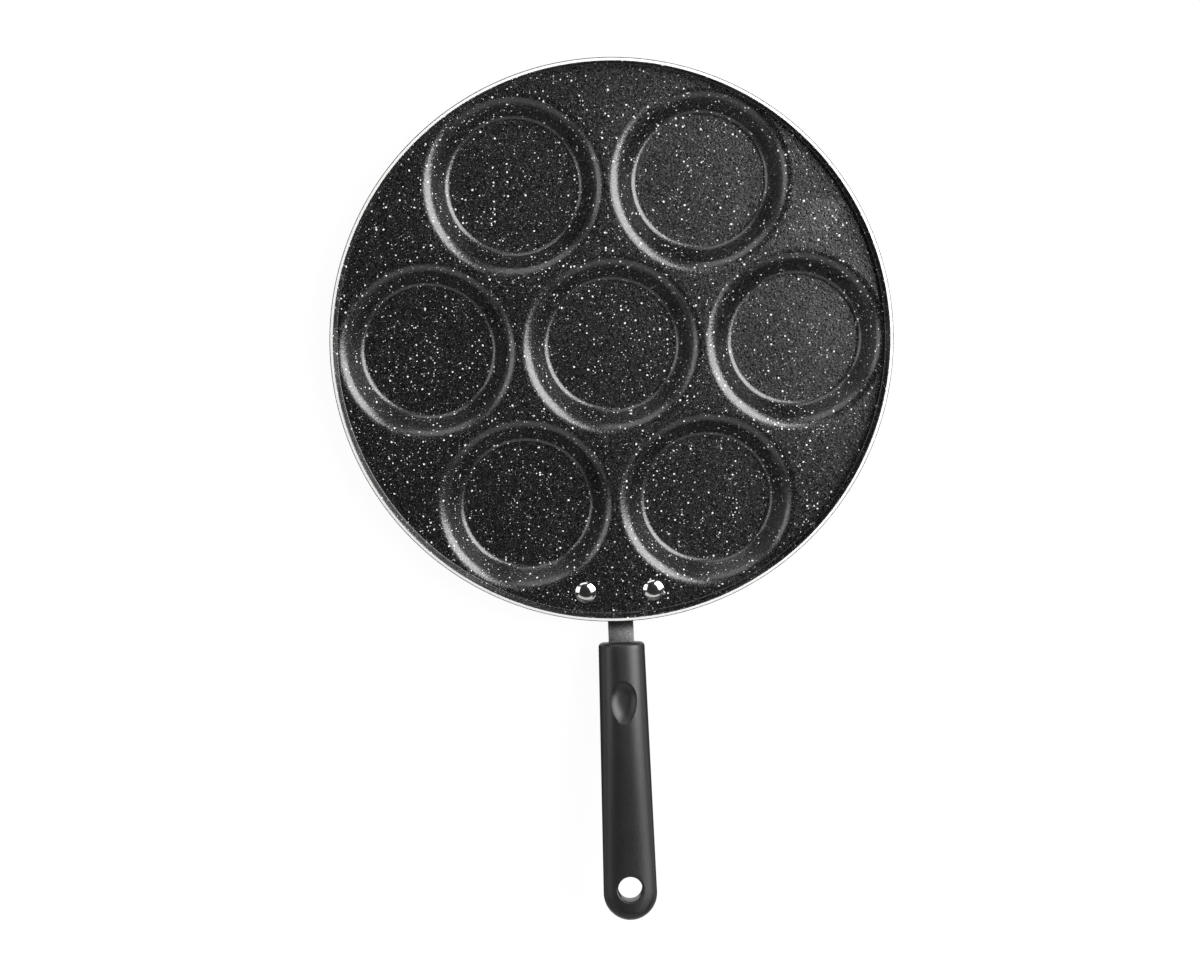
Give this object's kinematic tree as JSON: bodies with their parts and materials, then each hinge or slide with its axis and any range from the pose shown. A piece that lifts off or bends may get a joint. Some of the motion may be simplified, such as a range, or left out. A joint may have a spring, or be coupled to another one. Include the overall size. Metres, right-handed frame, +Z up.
{
  "type": "multi-section egg pan",
  "caption": "Shallow round frying pan with round egg cups pressed into its deck, a low outer wall and a riveted handle with a thumb dimple and a hanging hole.",
  "frame": {"origin": "middle of the centre cup's underside, on the plane that the cups stand on", "axes": "+Z up along the dish's axis, -Y along the handle away from the dish, +X to the right of someone holding the handle"},
  "size_m": [0.27, 0.4153, 0.0477],
  "materials": {
    "pan_coating": "speckled stone-look non-stick coating on pressed aluminium, bare bright metal on the rim's cut edge",
    "bracket_steel": "dull grey plated pressed steel",
    "rivet_metal": "polished",
    "grip_moulding": "satin black phenolic moulding",
    "screw_steel": "zinc plated"
  },
  "bodies": {
    "root": {"pan_body": "pan_coating", "handle_bracket": "bracket_steel", "rivet_left": "rivet_metal", "rivet_right": "rivet_metal", "handle_grip": "grip_moulding", "handle_screw": "screw_steel", "spring_washer": "screw_steel"}
  },
  "joints": []
}
